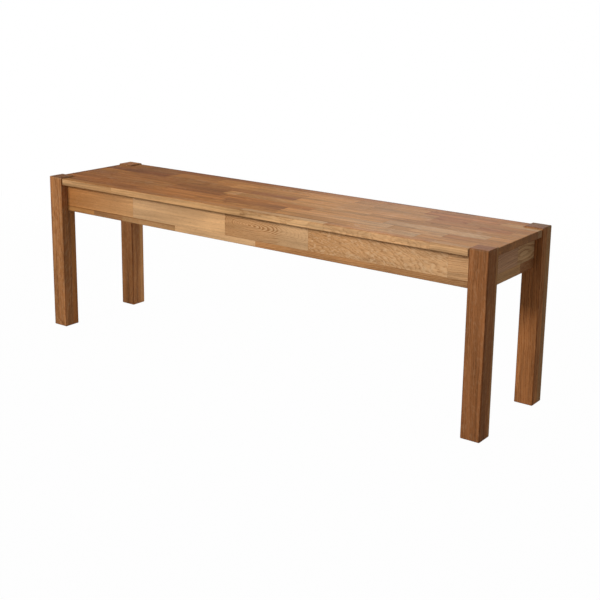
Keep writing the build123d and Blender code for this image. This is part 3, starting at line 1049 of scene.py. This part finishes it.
class BENCH_OT_centre_rail(bpy.types.Operator):
    """Builds the flat rail between the long aprons"""

    bl_idname = "bench.centre_rail"
    bl_label = "Centre Rail"

    def execute(self, context):
        low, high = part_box("centre_rail")

        def lower_edge(edge):
            return edge_runs(edge, "Y") and close(edge_middle(edge).z, low.z)

        piece = sized_piece("centre_rail_stave", low, high)
        edit(piece)
        round_off(piece, lower_edge, settings("sizes").rail_edge)
        finish_timber(piece, "centre_rail", "rail_oak", "YXZ", RAIL_ROWS)
        return {"FINISHED"}


# Hanger bolts

# How far a bolt stands in the leg, and its radii as shares of its threads' crest
BOLT_IN_LEG = 32.0 * MM
WOOD_CORE = 0.72
COLLAR = 0.95
MACHINE_CORE = 0.83

# The bar's profile: what each height counts from, the height in millimetres, and the share of the crest
BAR_PROFILE = (
    ("tip", 0.0, 0.12), ("tip", 6.0, WOOD_CORE), ("leg", -3.0, WOOD_CORE), ("leg", -2.2, COLLAR),
    ("leg", 4.0, COLLAR), ("leg", 4.6, MACHINE_CORE), ("end", -0.8, MACHINE_CORE),
    ("end", 0.0, 0.75 * MACHINE_CORE),
)

# Each thread: where it starts and ends, and the share of the crest at which its ridge is rooted
THREADS = {
    "wood": (("tip", 5.0), ("leg", -2.5), 0.9 * WOOD_CORE),
    "machine": (("leg", 4.6), ("end", -0.4), 0.95 * MACHINE_CORE),
}

BAR_SIDES = 20
THREAD_STEPS = 16
FLANK = 0.46


def turned_bar(name, profile):
    """A closed turned bar along Z, from (height, radius) pairs."""
    clear_selection()
    height, radius = profile[0]
    bpy.ops.mesh.primitive_circle_add(
        vertices=BAR_SIDES, radius=radius, fill_type="NGON", location=(0, 0, height)
    )
    piece = new_piece(name)
    edit(piece)
    select_all("FACE")
    for next_height, next_radius in profile[1:]:
        raise_faces(next_height - height)
        grow = next_radius / radius
        bpy.ops.transform.resize(value=(grow, grow, 1.0), center_override=(0, 0, next_height))
        height, radius = next_height, next_radius
    face_outwards()
    leave_edit()
    return piece


def thread_ridge(name, start, end, pitch, root, crest):
    """The ridge of a thread, a closed shell sunk a little into its bar."""
    clear_selection()
    bpy.ops.mesh.primitive_circle_add(vertices=3, radius=1.0, fill_type="NOTHING")
    piece = new_piece(name)
    edit(piece)
    flank = FLANK * pitch
    mesh = bmesh.from_edit_mesh(piece.data)
    for vertex, radius, height in zip(mesh.verts, (root, crest, root), (-flank, 0.0, flank)):
        vertex.co = (radius, 0.0, start + flank + height)
    bmesh.update_edit_mesh(piece.data)
    leave_edit()
    turns = int((end - start - 2 * flank) / pitch)
    apply_modifier(
        piece, "SCREW", axis="Z", angle=math.radians(360), steps=THREAD_STEPS,
        render_steps=THREAD_STEPS, screw_offset=pitch, iterations=turns, use_merge_vertices=False,
    )
    edit(piece)
    bpy.ops.mesh.remove_doubles(threshold=0.000001)
    select_all()
    bpy.ops.mesh.fill_holes(sides=3)
    face_outwards()
    leave_edit()
    return piece


def inwards_from(corner):
    """The level direction from a corner's leg into the bench."""
    return Vector((-1 if "right" in corner else 1, 1 if "front" in corner else -1, 0)).normalized()


class BENCH_OT_hanger_bolts(bpy.types.Operator):
    """Builds the hanger bolts with both of their threads, two at each corner"""

    bl_idname = "bench.hanger_bolts"
    bl_label = "Hanger Bolts"

    def execute(self, context):
        sizes = settings("sizes")
        vertices = frame["nodes"]["leg_bolts_front_right"].data.vertices
        reach = [vertex.co.dot(inwards_from("front_right")) for vertex in vertices]
        whole = max(reach) - min(reach)
        crest = self.radius_of(vertices)
        marks = {"tip": 0.0, "leg": BOLT_IN_LEG, "end": whole}

        def height_of(mark, height):
            return marks[mark] + height * MM

        bar = turned_bar(
            "hanger_bolt", [(height_of(*place), part * crest) for *place, part in BAR_PROFILE]
        )
        ridges = [
            thread_ridge(
                kind + "_thread", height_of(*start), height_of(*end), getattr(sizes, kind + "_pitch"),
                root * crest, crest,
            )
            for kind, (start, end, root) in THREADS.items()
        ]
        hold(bar, *ridges)
        bpy.ops.object.join()
        smooth_piece(bar)
        for corner in CORNERS:
            self.place_pair(bar, corner, crest)
        bpy.data.objects.remove(bar)
        return {"FINISHED"}

    def radius_of(self, vertices):
        """The bolts' radius, from the height of the lower one of the pair."""
        heights = sorted(vertex.co.z for vertex in vertices)
        middle = (heights[0] + heights[-1]) / 2
        lower = [height for height in heights if height < middle]
        return (lower[-1] - lower[0]) / 2

    def place_pair(self, bar, corner, crest):
        """Copies the bolt to the two places of one corner."""
        node = "leg_bolts_" + corner
        inwards = inwards_from(corner)
        reach = min(vertex.co.dot(inwards) for vertex in frame["nodes"][node].data.vertices)
        turn = AXES["Z"].rotation_difference(inwards).to_matrix().to_4x4()
        low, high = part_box(node)
        middle = (low + high) / 2
        start = middle + inwards * (reach - middle.dot(inwards))
        pair = []
        for height in (low.z + crest, high.z - crest):
            copy = add_object(bar.data.copy())
            start.z = height
            copy.matrix_world = Matrix.Translation(start) @ turn
            settle(copy)
            pair.append(copy)
        hold(*pair)
        bpy.ops.object.join()
        piece = bpy.context.object
        piece.name = piece.data.name = "hanger_bolts_" + corner
        present(piece, node, "zinc_fastener")


class BENCH_OT_fittings(bpy.types.Operator):
    """Gives the plates, clips, screws, nuts, washers and dowels their finishes"""

    bl_idname = "bench.fittings"
    bl_label = "Fittings"

    def execute(self, context):
        for subpart in frame["record"]["subparts"]:
            slot = subpart["material_slot"]
            if FINISHES[slot][0] is not oiled_oak:
                coat(frame["nodes"][subpart["node"]], slot)
        return {"FINISHED"}


# Studio

# Each lamp: its place, the point it faces, its width and height, its colour and its spread in degrees
LAMPS = {
    "key": ((-1.2, -3.0, 1.95), (0.20, 0.0, 1.15), (1.6, 1.0), (1.0, 0.985, 0.96), 62.0),
    "back": ((-0.75, 2.3, 1.05), (0.40, 0.0, 0.44), (1.1, 0.6), WHITE[:3], 180.0),
    "low": ((0.5, 1.2, 0.12), (-0.66, 0.24, 0.04), (0.15, 0.15), WHITE[:3], 26.0),
}

# The floor's width, and how far from the bench its whiteness starts and ends to grow
FLOOR_WIDTH = 12.0
GLOW_START = 1.1
GLOW_END = 2.6


def area_lamp(kind):
    """A soft oblong lamp that faces a point."""
    place, aim, size, tint, spread = LAMPS[kind]
    lamp = bpy.data.lights.new(kind + "_lamp", "AREA")
    lamp.shape = "RECTANGLE"
    lamp.size, lamp.size_y = size
    lamp.energy = getattr(settings("light"), kind + "_power")
    lamp.color = tint
    lamp.spread = math.radians(spread)
    stand = add_object(lamp)
    stand.location = place
    stand.rotation_euler = (Vector(aim) - Vector(place)).to_track_quat("-Z", "Y").to_euler()
    stand.visible_camera = False


def seen_directly(w):
    """One where the camera, a mirror or glass looks, and nought elsewhere."""
    path = w.node("ShaderNodeLightPath").outputs
    seen = w.plus(path["Is Camera Ray"], path["Is Glossy Ray"])
    return w.plus(seen, path["Is Transmission Ray"], clamp=True)


def floor_finish():
    """A pale matt floor that is drawn nearly white and keeps the bench's shadow."""
    light = settings("light")
    material = bpy.data.materials.new("floor_finish")
    w = fresh_wiring(material)
    matt = w.node("ShaderNodeBsdfDiffuse", {"Color": (*light.floor, 1.0)}).outputs[0]
    white = w.node("ShaderNodeEmission", {"Color": WHITE, "Strength": 1.0}).outputs[0]
    away = w.vector("LENGTH", w.object_place())
    glow = w.step(away, GLOW_START, GLOW_END, light.floor_glow, 1.0)
    amount = w.times(glow, seen_directly(w))
    shader = w.node("ShaderNodeMixShader", {0: amount, 1: matt, 2: white}).outputs[0]
    w.node("ShaderNodeOutputMaterial", {"Surface": shader})
    return material


def backdrop_world():
    """White where it is looked at, and an even soft light elsewhere."""
    world = bpy.data.worlds.new("studio_white")
    w = fresh_wiring(world)
    even, white = (
        w.node("ShaderNodeBackground", {"Color": WHITE, "Strength": strength}).outputs[0]
        for strength in (settings("light").fill, 1.0)
    )
    shader = w.node("ShaderNodeMixShader", {0: seen_directly(w), 1: even, 2: white}).outputs[0]
    w.node("ShaderNodeOutputWorld", {"Surface": shader})
    return world


def studio_camera():
    """The camera, turned, raised and rolled about its target."""
    light = settings("light")
    camera = bpy.data.cameras.new("camera")
    camera.sensor_width = 36.0
    camera.lens = light.lens
    camera.shift_y = light.shift
    place = Matrix.Translation(light.target)
    turns = ((light.azimuth, "Z"), (math.pi / 2 - light.elevation, "X"), (light.roll, "Z"))
    for turn, axis in turns:
        place = place @ Matrix.Rotation(turn, 4, axis)
    stand = add_object(camera)
    stand.matrix_world = place @ Matrix.Translation((0.0, 0.0, light.distance))
    bpy.context.scene.camera = stand


class BENCH_OT_studio(bpy.types.Operator):
    """Sets up the floor, the lamps, the white background and the camera"""

    bl_idname = "bench.studio"
    bl_label = "Studio"

    def execute(self, context):
        clear_selection()
        bpy.ops.mesh.primitive_plane_add(size=FLOOR_WIDTH, location=(0, 0, 0))
        floor = new_piece("floor")
        floor.data.materials.append(floor_finish())
        for kind in LAMPS:
            area_lamp(kind)
        context.scene.world = backdrop_world()
        context.scene.view_settings.view_transform = "Standard"
        studio_camera()
        return {"FINISHED"}


class BENCH_PT_pieces(bpy.types.Panel):
    """Lists the bench's pieces and its studio"""

    bl_idname = "BENCH_PT_pieces"
    bl_label = "Oak Bench"
    bl_space_type = "VIEW_3D"
    bl_region_type = "UI"
    bl_category = "Bench"

    def draw(self, context):
        for operator in OPERATORS:
            self.layout.operator(operator.bl_idname)


GROUPS = {"sizes": BenchSizes, "oak": OakColours, "metal": MetalColours, "light": StudioLight}
OPERATORS = (
    BENCH_OT_seat, BENCH_OT_legs, BENCH_OT_aprons, BENCH_OT_centre_rail, BENCH_OT_hanger_bolts,
    BENCH_OT_fittings, BENCH_OT_studio,
)


def register():
    for name, group in GROUPS.items():
        bpy.utils.register_class(group)
        setattr(bpy.types.Scene, "bench_" + name, PointerProperty(type=group))
    for item in (*OPERATORS, BENCH_PT_pieces):
        bpy.utils.register_class(item)


def unregister():
    for item in (BENCH_PT_pieces, *reversed(OPERATORS)):
        bpy.utils.unregister_class(item)
    for name, group in GROUPS.items():
        delattr(bpy.types.Scene, "bench_" + name)
        bpy.utils.unregister_class(group)


def build_bench():
    """Builds every piece in order."""
    register()
    bpy.ops.bench.seat()
    bpy.ops.bench.legs()
    bpy.ops.bench.aprons()
    bpy.ops.bench.centre_rail()
    bpy.ops.bench.hanger_bolts()
    bpy.ops.bench.fittings()
    bpy.ops.bench.studio()


if __name__ == "__main__":
    build_bench()
